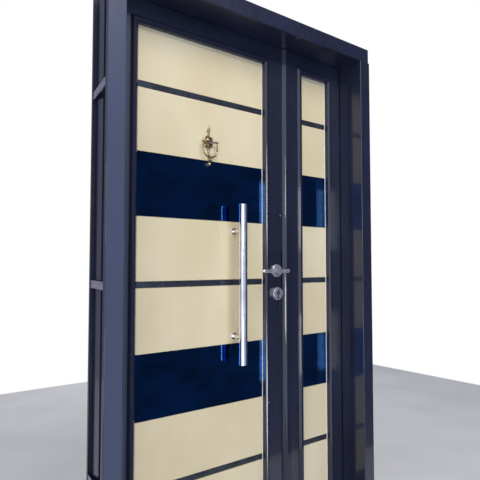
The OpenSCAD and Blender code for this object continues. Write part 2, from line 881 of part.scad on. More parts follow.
module cylinder_body() {
    color("silver") difference() {
        cylinder_bar(cyl_y0, cyl_y1, 0);
        rod_y(lock_x, cyl_y0 - 1, cyl_y1 + 1, cylinder_z, plug_r + running);
        block([lock_x - 20, leaf_mid - cam_t / 2 - 0.5, cylinder_z - plug_r - 8],
              [lock_x + 20, leaf_mid + cam_t / 2 + 0.5, cylinder_z + 20]);
    }
}

// The turning plug with its keyway outside and its cam in the middle
module cylinder_plug() {
    color("gainsboro") difference() {
        union() {
            rod_y(lock_x, cyl_y0, cyl_y1, cylinder_z, plug_r);
            rod_y(lock_x, leaf_mid - cam_t / 2, leaf_mid + cam_t / 2, cylinder_z, plug_r + 1.5);
            block([lock_x - 3, leaf_mid - cam_t / 2, cylinder_z - plug_r - 6.5],
                  [lock_x + 3, leaf_mid + cam_t / 2, cylinder_z]);
        }
        block([lock_x - 0.9, cyl_y0 - 1, cylinder_z - 4.5], [lock_x + 0.9, cyl_y0 + 25, cylinder_z + 3.5]);
    }
}

module thumb_turn() {
    y0 = cyl_y1;
    color("silver") {
        rod_y(lock_x, y0, y0 + 10, cylinder_z, 6);
        rod_y(lock_x, y0 + 8, y0 + 12, cylinder_z, 13);
        block([lock_x - 3, y0 + 11, cylinder_z - 13], [lock_x + 3, y0 + 26, cylinder_z + 13]);
    }
}

// ---- knocker with its peephole ----

striker_r = knocker_r + 8;
striker_wire = 3;
striker_eye_r = 4.5;
lug_end = striker_r - striker_eye_r - 0.3;
pivot_r = 1.5;
striker_y = knocker_y - 3;

// Turned plate, top spike and lower stud, on one back bar
module knocker_plate() {
    color("darkgoldenrod") difference() {
        union() {
            rod_y(knocker_x, knocker_y, pane_y, knocker_z, knocker_r);
            rod_y(knocker_x, knocker_y - 3, knocker_y, knocker_z, viewer_r + 6);
            block([knocker_x - 4, pane_y - 5, knocker_z - 84], [knocker_x + 4, pane_y, knocker_z + 46]);
            translate([knocker_x, pane_y - 6, knocker_z + 30])
                cylinder(h = 14, r1 = 5.5, r2 = 3);
            translate([knocker_x, pane_y - 6, knocker_z + 46]) sphere(r = 5.5);
            translate([knocker_x, pane_y - 6, knocker_z + 50]) cylinder(h = 16, r1 = 3.5, r2 = 0.6);
            rod_y(knocker_x, pane_y - 9, pane_y, knocker_z - 81, 6.5);
            translate([knocker_x, pane_y - 10, knocker_z - 81]) sphere(r = 6.5);
            for (side = [0, 1]) translate([knocker_x, 0, 0]) mirror([side, 0, 0]) {
                rod_x(knocker_r - 8, lug_end, striker_y, knocker_z, 4);
                rod_x(lug_end - 1, striker_r + striker_eye_r + 0.5, striker_y, knocker_z, pivot_r);
            }
        }
        rod_y(knocker_x, knocker_y - 20, pane_y + 1, knocker_z, viewer_r + 0.2);
        for (z = knocker_stud_zs) rod_y(knocker_x, pane_y - 4, pane_y + 1, z, stud_r);
    }
}

// Swinging ring: two arms, a round lower bow and a ball that meets the lower stud
module knocker_striker() {
    arm = 26;
    ball_z = knocker_z - 66;
    color("darkgoldenrod") difference() {
        union() {
            for (side = [-1, 1]) {
                translate([knocker_x + side * striker_r, striker_y, knocker_z - arm])
                    cylinder(h = arm, r = striker_wire);
                translate([knocker_x + side * striker_r, striker_y, knocker_z])
                    sphere(r = striker_eye_r);
            }
            translate([knocker_x, striker_y, knocker_z - arm]) rotate([90, 0, 0]) difference() {
                rotate_extrude($fn = 64) translate([striker_r, 0]) circle(r = striker_wire, $fn = 24);
                translate([-60, 0, -60]) cube([120, 60, 120]);
            }
            translate([knocker_x, striker_y, ball_z]) cylinder(h = 10, r = 4);
            translate([knocker_x, striker_y, ball_z]) sphere(r = 6);
        }
        rod_x(knocker_x - 60, knocker_x + 60, striker_y, knocker_z, pivot_r + running);
    }
}

module knocker_bolts() {
    color("goldenrod") for (z = knocker_stud_zs) {
        rod_y(knocker_x, pane_y - 4, backing_end, z, stud_r);
        rod_y(knocker_x, backing_end, backing_end + 3, z, 5);
    }
}

module viewer_barrel() {
    color("gold") difference() {
        union() {
            rod_y(knocker_x, knocker_y - 4, backing_end, knocker_z, viewer_r);
            rod_y(knocker_x, knocker_y - 5.5, knocker_y - 3, knocker_z, viewer_r + 2.5);
            rod_y(knocker_x, backing_end, backing_end + 4, knocker_z, viewer_r + 5);
        }
        rod_y(knocker_x, knocker_y - 10, backing_end + 10, knocker_z, viewer_r - 1.5);
    }
}

module viewer_lens() {
    color("lightcyan") {
        rod_y(knocker_x, knocker_y - 4.5, knocker_y - 0.5, knocker_z, viewer_r - 1.5);
        rod_y(knocker_x, backing_end - 2, backing_end + 2, knocker_z, viewer_r - 1.5);
    }
}

// ---- side leaf ----

flush_zs = [leaf_z0 + 140, leaf_z1 - 140];

// Room for the flush bolts' guides and for their rods through the leaf's ends
module flush_bolt_cuts() {
    for (z = flush_zs)
        edge_slot(side_x0, z - flush_plate_h / 2, z + flush_plate_h / 2, flush_plate_w);
    for (z = [leaf_z0, leaf_z1])
        translate([flush_x, leaf_mid, z - 5]) cylinder(h = 10, r = flush_d / 2 + 0.5);
}

module side_outer_skin() {
    color("darkslateblue") difference() {
        outer_tray(side_x0, side_x1, side_s0, side_s1);
        flush_bolt_cuts();
        edge_slot(side_x0, strike_z0 - 10, strike_z1 + 10, forend_w);
    }
}

module side_inner_skin() {
    color("darkslateblue") difference() {
        inner_tray(side_x0, side_x1, side_s0, side_s1);
        flush_bolt_cuts();
        edge_slot(side_x0, strike_z0 - 10, strike_z1 + 10, forend_w);
    }
}

module side_core() {
    color("slategray") difference() {
        core_tubes(side_x0, side_x1, side_s0, side_s1);
        flush_bolt_cuts();
        edge_slot(side_x0, strike_z0 - 0.5, strike_z1 + 0.5, forend_w - 2);
    }
}

module side_outer_bead() {
    color("midnightblue") outer_bead(side_s0, side_s1);
}

module side_inner_bead() {
    color("midnightblue") inner_bead(side_s0, side_s1);
}

module side_glazing_seal() {
    color("lightgray") glazing_seal(side_s0, side_s1);
}

module side_backing() {
    color("beige") backing(side_s0, side_s1);
}

module side_cream_panels() {
    color("cornsilk") panels_of(side_s0, side_s1, "ce", pane_y);
}

module side_mirror_bands() {
    color("navy") panels_of(side_s0, side_s1, "m", pane_y);
}

module side_divider_strips() {
    color("darkslategray") panels_of(side_s0, side_s1, "s", pane_y);
}

// Raised strip with chamfered edges along the side leaf's meeting edge
module meeting_strip() {
    c = meeting_strip_h;
    color("slateblue") translate([side_x0, 0, sill_h + sill_stop_h + 4])
        linear_extrude(height = reveal_z - 3 - sill_h - sill_stop_h - 4)
            polygon([[0, leaf_y], [c, leaf_y - c], [meeting_strip_w - c, leaf_y - c],
                     [meeting_strip_w, leaf_y]]);
}

// Rubber fin that closes the gap between the leaves
module meeting_seal() {
    fin = meeting_gap - 1.5;
    color("black") for (zz = [[leaf_z0 + 10, strike_z0 - 20], [strike_z1 + 20, leaf_z1 - 10]])
        block([side_x0 - fin, leaf_y + 2, zz[0]], [side_x0, leaf_y + 5, zz[1]]);
}

// Face plate and closed box that take the latch and the three deadbolts
module strike_plate() {
    y0 = leaf_mid - forend_w / 2 + 0.3;
    y1 = leaf_mid + forend_w / 2 - 0.3;
    color("silver") difference() {
        union() {
            block([side_x0, y0, strike_z0 - 9.5], [side_x0 + 2, y1, strike_z1 + 9.5]);
            block([side_x0, y0 + 1, strike_z0], [side_x0 + strike_depth, y1 - 1, strike_z1]);
        }
        block([side_x0 + 2, y0 + 2.5, strike_z0 + 1.5], [side_x0 + strike_depth - 1.5, y1 - 2.5, strike_z1 - 1.5]);
        block([side_x0 - 1, leaf_mid - latch_w / 2 - 1, latch_z - latch_h / 2 - 1],
              [side_x0 + 3, leaf_mid + latch_w / 2 + 1, latch_z + latch_h / 2 + 1]);
        for (i = [-1 : 1])
            rod_x(side_x0 - 1, side_x0 + 3, leaf_mid, bolt_z + i * bolt_pitch, bolt_d / 2 + 1);
    }
}

// Recessed guides with a slot for the thumb piece
module flush_bolt_guides() {
    y0 = leaf_mid - flush_plate_w / 2 + 0.3;
    y1 = leaf_mid + flush_plate_w / 2 - 0.3;
    h = flush_plate_h / 2 - 0.3;
    color("silver") for (z = flush_zs) difference() {
        block([side_x0, y0, z - h], [flush_x + flush_d / 2 + 3, y1, z + h]);
        translate([flush_x, leaf_mid, z - h - 1]) cylinder(h = 2 * h + 2, r = flush_d / 2 + running);
        block([side_x0 - 1, leaf_mid - 3.5, z - flush_slot_h], [flush_x, leaf_mid + 3.5, z + flush_slot_h]);
    }
}

// One rod; up is 1 for the top bolt and -1 for the bottom bolt
module flush_rod(z_edge, z_slot, up) {
    z_a = z_edge - up;
    z_b = z_edge - up * flush_len;
    translate([flush_x, leaf_mid, min(z_a, z_b)]) cylinder(h = flush_len - 1, r = flush_d / 2);
    zt = z_slot - up * 10;
    block([side_x0 + 1, leaf_mid - 3, zt - 6], [flush_x, leaf_mid + 3, zt + 6]);
}

module top_flush_bolt() {
    color("silver") flush_rod(leaf_z1, flush_zs[1], 1);
}

module bottom_flush_bolt() {
    color("silver") flush_rod(leaf_z0, flush_zs[0], -1);
}

jamb_left();
jamb_right();
head();
sill();
anchor_straps();
frame_seal();
hinge_frame_plates();
hinge_pins();
main_outer_skin();
main_inner_skin();
main_core();
main_outer_bead();
main_inner_bead();
main_glazing_seal();
main_backing();
main_cream_panels();
main_mirror_bands();
main_divider_strips();
main_hinge_plates();
pull_bar();
pull_standoffs();
pull_bolts();
lock_case();
lock_forend();
forend_screws();
latch_bolt();
deadbolts();
lever_outside();
lever_inside();
spindle();
follower();
rose_outside();
rose_inside();
escutcheon_outside();
escutcheon_inside();
cylinder_body();
cylinder_plug();
thumb_turn();
knocker_plate();
knocker_striker();
knocker_bolts();
viewer_barrel();
viewer_lens();
side_outer_skin();
side_inner_skin();
side_core();
side_outer_bead();
side_inner_bead();
side_glazing_seal();
side_backing();
side_cream_panels();
side_mirror_bands();
side_divider_strips();
side_hinge_plates();
meeting_strip();
meeting_seal();
strike_plate();
flush_bolt_guides();
top_flush_bolt();
bottom_flush_bolt();
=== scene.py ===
"""Looks of the entrance door: finishes for its parts, the cast knocker, the levers, camera and studio."""

import math

import bmesh
import bpy
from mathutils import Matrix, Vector


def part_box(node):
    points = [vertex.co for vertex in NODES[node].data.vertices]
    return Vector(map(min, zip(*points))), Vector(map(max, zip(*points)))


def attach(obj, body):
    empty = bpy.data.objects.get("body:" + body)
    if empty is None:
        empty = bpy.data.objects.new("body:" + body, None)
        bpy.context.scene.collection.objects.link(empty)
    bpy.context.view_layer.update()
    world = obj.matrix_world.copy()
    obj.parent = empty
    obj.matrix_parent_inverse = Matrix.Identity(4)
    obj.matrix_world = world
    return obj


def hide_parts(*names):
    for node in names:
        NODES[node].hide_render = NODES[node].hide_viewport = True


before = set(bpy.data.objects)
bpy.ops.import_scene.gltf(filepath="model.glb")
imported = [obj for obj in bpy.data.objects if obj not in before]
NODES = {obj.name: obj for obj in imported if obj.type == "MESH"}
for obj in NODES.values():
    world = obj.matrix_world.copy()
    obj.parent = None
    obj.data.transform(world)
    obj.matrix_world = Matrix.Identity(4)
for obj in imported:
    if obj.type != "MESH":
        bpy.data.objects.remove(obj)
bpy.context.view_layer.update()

MM = 0.001  # metres in a millimetre
MOST_LOW, MOST_HIGH = 0.35, 0.65  # most of a noise pattern lies between these


# ---- places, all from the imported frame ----

def centre(node):
    """Middle of a node's box."""
    low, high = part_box(node)
    return (Vector(low) + Vector(high)) / 2


front_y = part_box("jamb_left")[0][1]
pane_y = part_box("main_cream_panels")[0][1]
leaf_out_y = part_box("main_outer_skin")[0][1]
leaf_in_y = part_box("main_inner_skin")[1][1]
spindle = centre("spindle")
viewer = centre("viewer_barrel")


# ---- colours and nodes ----

def srgb(code):
    """A hex colour such as 'DED4B2' as linear red, green, blue and alpha."""
    parts = [int(code[i:i + 2], 16) / 255 for i in (0, 2, 4)]
    linear = [p / 12.92 if p <= 0.04045 else ((p + 0.055) / 1.055) ** 2.4 for p in parts]
    return (*linear, 1.0)


def per_mm(size):
    """Texture scale, in repeats a metre, for features of that many millimetres."""
    return 1000.0 / size


def put(tree, kind, out, inputs=None, **settings):
    """Adds one shader node, sets it up, links or fills its inputs, and gives back one of its outputs."""
    node = tree.nodes.new("ShaderNode" + kind)
    for key, value in settings.items():
        setattr(node, key, value)
    for key, value in (inputs or {}).items():
        if isinstance(value, bpy.types.NodeSocket):
            tree.links.new(value, node.inputs[key])
        else:
            node.inputs[key].default_value = value
    return node.outputs[out] if out is not None else None


def blank(name):
    """A new material with an empty tree, and the object's own coordinates in metres."""
    material = bpy.data.materials.new(name)
    material.use_nodes = True
    tree = material.node_tree
    tree.nodes.clear()
    place = put(tree, "TexCoord", "Object")
    return material, tree, place


# ---- finishes ----

def sprayed_enamel(name, dark, light, gloss=0.5, rough=0.36):
    """Satin enamel sprayed on pressed steel: deep navy, with fine orange peel and a soft cloudy sheen.

    gloss and rough are those of the colour under its clear coat, duller on the narrow mouldings.
    """
    material, tree, place = blank(name)
    clouds = put(tree, "TexNoise", "Fac", {"Vector": place, "Scale": per_mm(240), "Detail": 3.0})
    upright = put(tree, "Mapping", "Vector", {"Vector": place, "Scale": (1.0, 1.0, 0.3)})
    dust = put(tree, "TexNoise", "Fac", {"Vector": upright, "Scale": per_mm(14), "Detail": 5.0})
    peel = put(tree, "TexNoise", "Fac", {"Vector": place, "Scale": per_mm(4), "Detail": 1.0})
    sheen = put(tree, "MapRange", "Result", {"Value": dust, "From Min": MOST_LOW, "From Max": MOST_HIGH,
                                             "To Min": rough, "To Max": rough + 0.12})
    bumps = put(tree, "Bump", "Normal", {"Height": peel, "Distance": 0.01 * MM, "Strength": 0.15})
    share = put(tree, "MapRange", "Result", {"Value": clouds, "From Min": MOST_LOW, "From Max": MOST_HIGH})
    colour = put(tree, "Mix", 2, {"Factor": share, 6: srgb(dark), 7: srgb(light)}, data_type="RGBA")
    shader = put(tree, "BsdfPrincipled", "BSDF", {
        "Base Color": colour,
        "Roughness": sheen,
        "IOR": 1.5,
        "Specular IOR Level": gloss,
        "Coat Weight": 0.9,
        "Coat Roughness": 0.06,
        "Normal": bumps})
    put(tree, "OutputMaterial", None, {"Surface": shader})
    return material


def cream_glass():
    """Float glass painted cream on its back: even warm cream under a smooth clear face."""
    material, tree, place = blank("cream_back_painted_glass")
    upright = put(tree, "Mapping", "Vector", {"Vector": place, "Scale": (1.0, 1.0, 0.45)})
    clouds = put(tree, "TexNoise", "Fac", {"Vector": upright, "Scale": per_mm(210), "Detail": 3.0})
    speckle = put(tree, "TexNoise", "Fac", {"Vector": place, "Scale": per_mm(6), "Detail": 6.0,
                                            "Roughness": 0.7})
    grains = put(tree, "MapRange", "Result", {"Value": speckle, "From Min": MOST_LOW, "From Max": MOST_HIGH,
                                              "To Min": 0.0, "To Max": 0.22})
    share = put(tree, "MapRange", "Result", {"Value": clouds, "From Min": MOST_LOW, "From Max": MOST_HIGH})
    colour = put(tree, "Mix", 2, {"Factor": share, 6: srgb("DACCA4"), 7: srgb("E4D8B5")}, data_type="RGBA")
    tone = put(tree, "Mix", 2, {"Factor": grains, 6: colour, 7: srgb("C9BA8E")}, data_type="RGBA")
    sheen = put(tree, "MapRange", "Result", {"Value": speckle, "From Min": MOST_LOW, "From Max": MOST_HIGH,
                                             "To Min": 0.30, "To Max": 0.42})
    wave = put(tree, "TexNoise", "Fac", {"Vector": place, "Scale": per_mm(160), "Detail": 1.0})
    rolled = put(tree, "Bump", "Normal", {"Height": wave, "Distance": 0.25 * MM, "Strength": 0.5})
    shader = put(tree, "BsdfPrincipled", "BSDF", {
        "Base Color": tone,
        "Roughness": sheen,
        "IOR": 1.52,
        "Coat Weight": 0.6,
        "Coat Roughness": 0.03,
        "Normal": rolled})
    put(tree, "OutputMaterial", None, {"Surface": shader})
    return material


def mirror_glass():
    """Dark blue mirror glass: a tinted, slightly wavy reflection."""
    material, tree, place = blank("dark_blue_mirror_glass")
    level = put(tree, "Mapping", "Vector", {"Vector": place, "Scale": (1.0, 1.0, 1.8)})
    clouds = put(tree, "TexNoise", "Fac", {"Vector": level, "Scale": per_mm(120), "Detail": 5.0,
                                           "Roughness": 0.6})
    film = put(tree, "MapRange", "Result", {"Value": clouds, "From Min": MOST_LOW, "From Max": MOST_HIGH,
                                            "To Min": 0.02, "To Max": 0.06})
    wave = put(tree, "TexNoise", "Fac", {"Vector": place, "Scale": per_mm(190), "Detail": 1.0})
    rolled = put(tree, "Bump", "Normal", {"Height": wave, "Distance": 0.35 * MM, "Strength": 0.6})
    share = put(tree, "MapRange", "Result", {"Value": clouds, "From Min": 0.3, "From Max": 0.7})
    colour = put(tree, "Mix", 2, {"Factor": share, 6: srgb("0B3A66"), 7: srgb("1656A4")}, data_type="RGBA")
    shader = put(tree, "BsdfPrincipled", "BSDF", {
        "Base Color": colour,
        "Metallic": 1.0,
        "Roughness": film,
        "Coat Weight": 0.2,
        "Coat Roughness": 0.02,
        "Normal": rolled})
    put(tree, "OutputMaterial", None, {"Surface": shader})
    return material


def strip_glass():
    """Charcoal back-painted glass of the narrow strips."""
    material, tree, place = blank("charcoal_back_painted_glass")
    clouds = put(tree, "TexNoise", "Fac", {"Vector": place, "Scale": per_mm(60), "Detail": 3.0})
    dust = put(tree, "TexNoise", "Fac", {"Vector": place, "Scale": per_mm(12), "Detail": 5.0})
    sheen = put(tree, "MapRange", "Result", {"Value": dust, "From Min": MOST_LOW, "From Max": MOST_HIGH,
                                             "To Min": 0.22, "To Max": 0.34})
    share = put(tree, "MapRange", "Result", {"Value": clouds, "From Min": MOST_LOW, "From Max": MOST_HIGH})
    colour = put(tree, "Mix", 2, {"Factor": share, 6: srgb("20242C"), 7: srgb("2C323C")}, data_type="RGBA")
    shader = put(tree, "BsdfPrincipled", "BSDF", {
        "Base Color": colour,
        "Roughness": sheen,
        "IOR": 1.52,
        "Coat Weight": 0.7,
        "Coat Roughness": 0.04})
    put(tree, "OutputMaterial", None, {"Surface": shader})
    return material


def polished_steel():
    """Polished stainless tube: a mirror with faint lines left along it by the buffing wheel.

    The real lines are finer than 0.1 mm. They are drawn 0.8 mm apart so that they show.
    """
    material, tree, place = blank("polished_stainless_steel")
    along = put(tree, "Mapping", "Vector", {"Vector": place, "Scale": (1.0, 1.0, 0.02)})
    lines = put(tree, "TexNoise", "Fac", {"Vector": along, "Scale": per_mm(0.8), "Detail": 2.0})
    smears = put(tree, "TexNoise", "Fac", {"Vector": place, "Scale": per_mm(45), "Detail": 4.0})
    sheen = put(tree, "MapRange", "Result", {"Value": smears, "From Min": MOST_LOW, "From Max": MOST_HIGH,
                                             "To Min": 0.07, "To Max": 0.12})
    buffed = put(tree, "Bump", "Normal", {"Height": lines, "Distance": 0.0005 * MM, "Strength": 0.1})
    share = put(tree, "MapRange", "Result", {"Value": smears, "From Min": MOST_LOW, "From Max": MOST_HIGH})
    colour = put(tree, "Mix", 2, {"Factor": share, 6: srgb("D9D8DC"), 7: srgb("F0EFF4")}, data_type="RGBA")
    shader = put(tree, "BsdfPrincipled", "BSDF", {
        "Base Color": colour,
        "Metallic": 1.0,
        "Roughness": sheen,
        "Normal": buffed})
    put(tree, "OutputMaterial", None, {"Surface": shader})
    return material


def satin_nickel(name="satin_nickel_plate", dark="DEDADF", light="F3F0F3"):
    """Satin nickel plate: soft broad highlights and a fine brushed grain.

    The real grain is finer than 0.1 mm. It is drawn 0.9 mm wide so that it shows.
    """
    material, tree, place = blank(name)
    brushed = put(tree, "Mapping", "Vector", {"Vector": place, "Scale": (0.06, 1.0, 1.0)})
    grain = put(tree, "TexNoise", "Fac", {"Vector": brushed, "Scale": per_mm(0.9), "Detail": 3.0})
    smears = put(tree, "TexNoise", "Fac", {"Vector": place, "Scale": per_mm(14), "Detail": 4.0})
    sheen = put(tree, "MapRange", "Result", {"Value": smears, "From Min": MOST_LOW, "From Max": MOST_HIGH,
                                             "To Min": 0.34, "To Max": 0.46})
    scratches = put(tree, "Bump", "Normal", {"Height": grain, "Distance": 0.01 * MM, "Strength": 0.3})
    share = put(tree, "MapRange", "Result", {"Value": smears, "From Min": MOST_LOW, "From Max": MOST_HIGH})
    colour = put(tree, "Mix", 2, {"Factor": share, 6: srgb(dark), 7: srgb(light)}, data_type="RGBA")
    shader = put(tree, "BsdfPrincipled", "BSDF", {
        "Base Color": colour,
        "Metallic": 1.0,
        "Roughness": sheen,
        "Normal": scratches})
    put(tree, "OutputMaterial", None, {"Surface": shader})
    return material


def antique_brass():
    """Cast brass, browned in some patches and rubbed pale in others."""
    material, tree, place = blank("antique_cast_brass")
    patches = put(tree, "TexNoise", "Fac", {"Vector": place, "Scale": per_mm(7), "Detail": 5.0,
                                            "Roughness": 0.6})
    grain = put(tree, "TexNoise", "Fac", {"Vector": place, "Scale": per_mm(1.6), "Detail": 3.0})
    rubbed = put(tree, "MapRange", "Result", {"Value": patches, "From Min": MOST_LOW, "From Max": MOST_HIGH,
                                              "To Min": 0.40, "To Max": 0.20})
    cast = put(tree, "Bump", "Normal", {"Height": grain, "Distance": 0.06 * MM, "Strength": 0.4})
    share = put(tree, "MapRange", "Result", {"Value": patches, "From Min": 0.38, "From Max": 0.60})
    colour = put(tree, "Mix", 2, {"Factor": share, 6: srgb("402F20"), 7: srgb("DCC99C")}, data_type="RGBA")
    shader = put(tree, "BsdfPrincipled", "BSDF", {
        "Base Color": colour,
        "Metallic": 1.0,
        "Roughness": rubbed,
        "Normal": cast})
    put(tree, "OutputMaterial", None, {"Surface": shader})
    return material


def turned_brass():
    """Lacquered brass turned on a lathe."""
    material, tree, place = blank("turned_brass")
    rings = put(tree, "TexNoise", "Fac", {"Vector": place, "Scale": per_mm(1.2), "Detail": 2.0})
    sheen = put(tree, "MapRange", "Result", {"Value": rings, "From Min": MOST_LOW, "From Max": MOST_HIGH,
                                             "To Min": 0.16, "To Max": 0.26})
    share = put(tree, "MapRange", "Result", {"Value": rings, "From Min": MOST_LOW, "From Max": MOST_HIGH})
    colour = put(tree, "Mix", 2, {"Factor": share, 6: srgb("CDB98A"), 7: srgb("E4D8B4")}, data_type="RGBA")
    shader = put(tree, "BsdfPrincipled", "BSDF", {
        "Base Color": colour,
        "Metallic": 1.0,
        "Roughness": sheen})
    put(tree, "OutputMaterial", None, {"Surface": shader})
    return material


def lens_glass():
    """Small ground lens under a clear coat; its grey-lilac colour, lighter than dark glass, is painted
    highlight.
    """
    material, tree, place = blank("ground_lens_glass")
    lens_mottle_painted_highlight = put(tree, "TexNoise", "Fac", {"Vector": place, "Scale": per_mm(6), "Detail": 3.0})
    sheen = put(tree, "MapRange", "Result", {"Value": lens_mottle_painted_highlight, "From Min": MOST_LOW, "From Max": MOST_HIGH,
                                             "To Min": 0.03, "To Max": 0.06})
    share = put(tree, "MapRange", "Result", {"Value": lens_mottle_painted_highlight, "From Min": MOST_LOW, "From Max": MOST_HIGH})
    # The lighter grey-lilac end of this mix is a painted highlight on the lens.
    colour = put(tree, "Mix", 2, {"Factor": share, 6: srgb("37333A"), 7: srgb("7C7884")}, data_type="RGBA")
    shader = put(tree, "BsdfPrincipled", "BSDF", {
        "Base Color": colour,
        "Roughness": sheen,
        "IOR": 1.6,
        "Coat Weight": 1.0,
        "Coat Roughness": 0.02})
    put(tree, "OutputMaterial", None, {"Surface": shader})
    return material


def zinc_strip():
    """Bare galvanised strip, with zinc spangle and a dull sheen."""
    material, tree, place = blank("galvanised_steel_strip")
    spangle = put(tree, "TexVoronoi", "Color", {"Vector": place, "Scale": per_mm(9)})
    tint = put(tree, "SeparateColor", "Red", {"Color": spangle})
    sheen = put(tree, "MapRange", "Result", {"Value": tint, "To Min": 0.38, "To Max": 0.52})
    crystals = put(tree, "Bump", "Normal", {"Height": tint, "Distance": 0.02 * MM, "Strength": 0.3})
    share = put(tree, "MapRange", "Result", {"Value": tint, "From Min": 0.0, "From Max": 1.0})
    colour = put(tree, "Mix", 2, {"Factor": share, 6: srgb("A6A4B2"), 7: srgb("C6C5D2")}, data_type="RGBA")
    shader = put(tree, "BsdfPrincipled", "BSDF", {
        "Base Color": colour,
        "Metallic": 0.85,
        "Roughness": sheen,
        "Normal": crystals})
    put(tree, "OutputMaterial", None, {"Surface": shader})
    return material


def plated_steel():
    """Zinc-plated lock steel, grey and slightly streaked."""
    material, tree, place = blank("zinc_plated_steel")
    along = put(tree, "Mapping", "Vector", {"Vector": place, "Scale": (0.2, 1.0, 1.0)})
    streaks = put(tree, "TexNoise", "Fac", {"Vector": along, "Scale": per_mm(4), "Detail": 4.0})
    sheen = put(tree, "MapRange", "Result", {"Value": streaks, "From Min": MOST_LOW, "From Max": MOST_HIGH,
                                             "To Min": 0.30, "To Max": 0.42})
    share = put(tree, "MapRange", "Result", {"Value": streaks, "From Min": MOST_LOW, "From Max": MOST_HIGH})
    colour = put(tree, "Mix", 2, {"Factor": share, 6: srgb("8E9092"), 7: srgb("A9ABAE")}, data_type="RGBA")
    shader = put(tree, "BsdfPrincipled", "BSDF", {
        "Base Color": colour,
        "Metallic": 1.0,
        "Roughness": sheen})
    put(tree, "OutputMaterial", None, {"Surface": shader})
    return material


def brushed_sill():
    """Stainless sheet brushed along the sill, scuffed by feet.

    The real grain is finer than 0.1 mm. It is drawn 0.9 mm wide so that it shows.
    """
    material, tree, place = blank("brushed_stainless_sheet")
    brushed = put(tree, "Mapping", "Vector", {"Vector": place, "Scale": (0.01, 1.0, 1.0)})
    grain = put(tree, "TexNoise", "Fac", {"Vector": brushed, "Scale": per_mm(0.9), "Detail": 3.0})
    scuffs = put(tree, "TexNoise", "Fac", {"Vector": place, "Scale": per_mm(70), "Detail": 6.0,
                                           "Roughness": 0.65})
    sheen = put(tree, "MapRange", "Result", {"Value": scuffs, "From Min": MOST_LOW, "From Max": MOST_HIGH,
                                             "To Min": 0.28, "To Max": 0.45})
    scratches = put(tree, "Bump", "Normal", {"Height": grain, "Distance": 0.02 * MM, "Strength": 0.5})
    share = put(tree, "MapRange", "Result", {"Value": scuffs, "From Min": MOST_LOW, "From Max": MOST_HIGH})
    colour = put(tree, "Mix", 2, {"Factor": share, 6: srgb("9C9DA0"), 7: srgb("B8B9BC")}, data_type="RGBA")
    shader = put(tree, "BsdfPrincipled", "BSDF", {
        "Base Color": colour,
        "Metallic": 1.0,
        "Roughness": sheen,
        "Normal": scratches})
    put(tree, "OutputMaterial", None, {"Surface": shader})
    return material


def black_rubber():
    """Extruded black rubber, matt with a faint grain."""
    material, tree, place = blank("extruded_black_rubber")
    grain = put(tree, "TexNoise", "Fac", {"Vector": place, "Scale": per_mm(1.5), "Detail": 4.0})
    sheen = put(tree, "MapRange", "Result", {"Value": grain, "From Min": MOST_LOW, "From Max": MOST_HIGH,
                                             "To Min": 0.55, "To Max": 0.75})
    skin = put(tree, "Bump", "Normal", {"Height": grain, "Distance": 0.05 * MM, "Strength": 0.5})
    share = put(tree, "MapRange", "Result", {"Value": grain, "From Min": MOST_LOW, "From Max": MOST_HIGH})
    colour = put(tree, "Mix", 2, {"Factor": share, 6: srgb("0B0B0C"), 7: srgb("161617")}, data_type="RGBA")
    shader = put(tree, "BsdfPrincipled", "BSDF", {
        "Base Color": colour,
        "Roughness": sheen,
        "Normal": skin})
    put(tree, "OutputMaterial", None, {"Surface": shader})
    return material


def pale_sealant():
    """Tooled pale sealant, slightly uneven."""
    material, tree, place = blank("pale_tooled_sealant")
    lumps = put(tree, "TexNoise", "Fac", {"Vector": place, "Scale": per_mm(14), "Detail": 3.0})
    sheen = put(tree, "MapRange", "Result", {"Value": lumps, "From Min": MOST_LOW, "From Max": MOST_HIGH,
                                             "To Min": 0.35, "To Max": 0.55})
    tooled = put(tree, "Bump", "Normal", {"Height": lumps, "Distance": 0.2 * MM, "Strength": 0.5})
    share = put(tree, "MapRange", "Result", {"Value": lumps, "From Min": MOST_LOW, "From Max": MOST_HIGH})
    colour = put(tree, "Mix", 2, {"Factor": share, 6: srgb("CFCBBE"), 7: srgb("EAE7DC")}, data_type="RGBA")
    shader = put(tree, "BsdfPrincipled", "BSDF", {
        "Base Color": colour,
        "Roughness": sheen,
        "Normal": tooled})
    put(tree, "OutputMaterial", None, {"Surface": shader})
    return material


def grey_primer():
    """Matt grey primer on the hidden tubes."""
    material, tree, place = blank("matt_grey_primer")
    clouds = put(tree, "TexNoise", "Fac", {"Vector": place, "Scale": per_mm(40), "Detail": 3.0})
    sheen = put(tree, "MapRange", "Result", {"Value": clouds, "From Min": MOST_LOW, "From Max": MOST_HIGH,
                                             "To Min": 0.55, "To Max": 0.7})
    share = put(tree, "MapRange", "Result", {"Value": clouds, "From Min": MOST_LOW, "From Max": MOST_HIGH})
    colour = put(tree, "Mix", 2, {"Factor": share, 6: srgb("6A6D70"), 7: srgb("7C7F82")}, data_type="RGBA")
    shader = put(tree, "BsdfPrincipled", "BSDF", {
        "Base Color": colour,
        "Roughness": sheen})
    put(tree, "OutputMaterial", None, {"Surface": shader})
    return material


